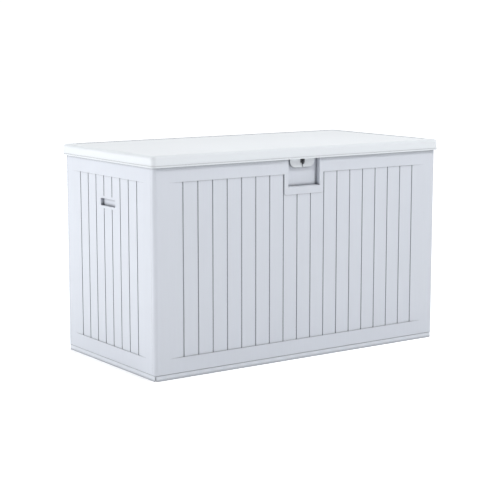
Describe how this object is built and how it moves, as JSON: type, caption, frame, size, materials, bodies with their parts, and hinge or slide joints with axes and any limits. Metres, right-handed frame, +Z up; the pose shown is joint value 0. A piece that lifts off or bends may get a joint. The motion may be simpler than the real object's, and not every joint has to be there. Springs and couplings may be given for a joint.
{
  "type": "deck storage box",
  "caption": "Large outdoor storage chest with board-patterned walls, a rear-hinged lid on gas struts and a padlock tongue in a front recess.",
  "frame": {"origin": "middle of the underside of the base, where the box stands on the ground", "axes": "+X along the front to the right, the front faces -Y, +Z up"},
  "size_m": [1.46, 0.734, 0.883],
  "materials": {
    "base_plastic": "moulded",
    "panel_plastic": "moulded with fine wood grain",
    "lid_plastic": "moulded",
    "liner_plastic": "moulded",
    "galvanised_steel": "galvanised",
    "hinge_steel": "zinc plated",
    "black_steel": "powder coated",
    "strut_paint": "painted",
    "rod_chrome": "polished",
    "black_plastic": "moulded",
    "bracket_steel": "zinc plated",
    "black_screw": "black oxide",
    "zinc_screw": "zinc plated"
  },
  "bodies": {
    "box": {"base_panel": "base_plastic", "front_panel": "panel_plastic", "back_panel": "panel_plastic", "left_panel": "panel_plastic", "right_panel": "panel_plastic", "lock_housing": "panel_plastic", "hand_pocket_left": "panel_plastic", "hand_pocket_right": "panel_plastic", "hinge_back_leaf_left": "hinge_steel", "hinge_pin_left": "hinge_steel", "hinge_back_leaf_middle": "hinge_steel", "hinge_pin_middle": "hinge_steel", "hinge_back_leaf_right": "hinge_steel", "hinge_pin_right": "hinge_steel", "strut_bracket_body_left": "bracket_steel", "strut_bracket_body_right": "bracket_steel", "lock_staple": "black_steel", "corner_screws": "zinc_screw", "base_screws": "zinc_screw", "hinge_screws_back": "zinc_screw", "strut_screws_body": "zinc_screw", "staple_screws": "black_screw"},
    "lid": {"lid_shell": "lid_plastic", "lid_liner": "liner_plastic", "support_bar_front": "galvanised_steel", "support_bar_back": "galvanised_steel", "hinge_lid_leaf_left": "hinge_steel", "hinge_lid_leaf_middle": "hinge_steel", "hinge_lid_leaf_right": "hinge_steel", "strut_bracket_lid_left": "bracket_steel", "strut_bracket_lid_right": "bracket_steel", "lock_tongue": "lid_plastic", "tongue_escutcheon": "black_steel", "hinge_screws_lid": "zinc_screw", "strut_screws_lid": "zinc_screw", "liner_screws": "zinc_screw", "tongue_screws": "zinc_screw"},
    "strut_cylinder_left": {"strut_cylinder_left": "strut_paint", "strut_gland_left": "black_plastic", "strut_socket_lower_left": "black_plastic"},
    "strut_rod_left": {"strut_rod_left": "rod_chrome", "strut_piston_left": "black_plastic", "strut_socket_upper_left": "black_plastic"},
    "strut_cylinder_right": {"strut_cylinder_right": "strut_paint", "strut_gland_right": "black_plastic", "strut_socket_lower_right": "black_plastic"},
    "strut_rod_right": {"strut_rod_right": "rod_chrome", "strut_piston_right": "black_plastic", "strut_socket_upper_right": "black_plastic"}
  },
  "joints": [
    {"name": "lid_hinge", "type": "hinge", "parent": "box", "child": "lid", "pos_m": [0, 0.362, 0.836], "axis": [-1, 0, 0], "range_deg": [0, 80]},
    {"name": "strut_lower_left", "type": "hinge", "parent": "box", "child": "strut_cylinder_left", "pos_m": [0, 0.26885, 0.55083], "axis": [-1, 0, 0], "range_deg": [0, 40]},
    {"name": "strut_upper_left", "type": "hinge", "parent": "lid", "child": "strut_rod_left", "pos_m": [0, 0.06217, 0.826], "axis": [-1, 0, 0], "range_deg": [-40, 0]},
    {"name": "strut_lower_right", "type": "hinge", "parent": "box", "child": "strut_cylinder_right", "pos_m": [0, 0.26885, 0.55083], "axis": [-1, 0, 0], "range_deg": [0, 40]},
    {"name": "strut_upper_right", "type": "hinge", "parent": "lid", "child": "strut_rod_right", "pos_m": [0, 0.06217, 0.826], "axis": [-1, 0, 0], "range_deg": [-40, 0]}
  ],
  "couplings": [
    {"joint": "strut_lower_left", "follows": "lid_hinge", "ratio": 0.5},
    {"joint": "strut_upper_left", "follows": "lid_hinge", "ratio": -0.5},
    {"joint": "strut_lower_right", "follows": "lid_hinge", "ratio": 0.5},
    {"joint": "strut_upper_right", "follows": "lid_hinge", "ratio": -0.5}
  ]
}
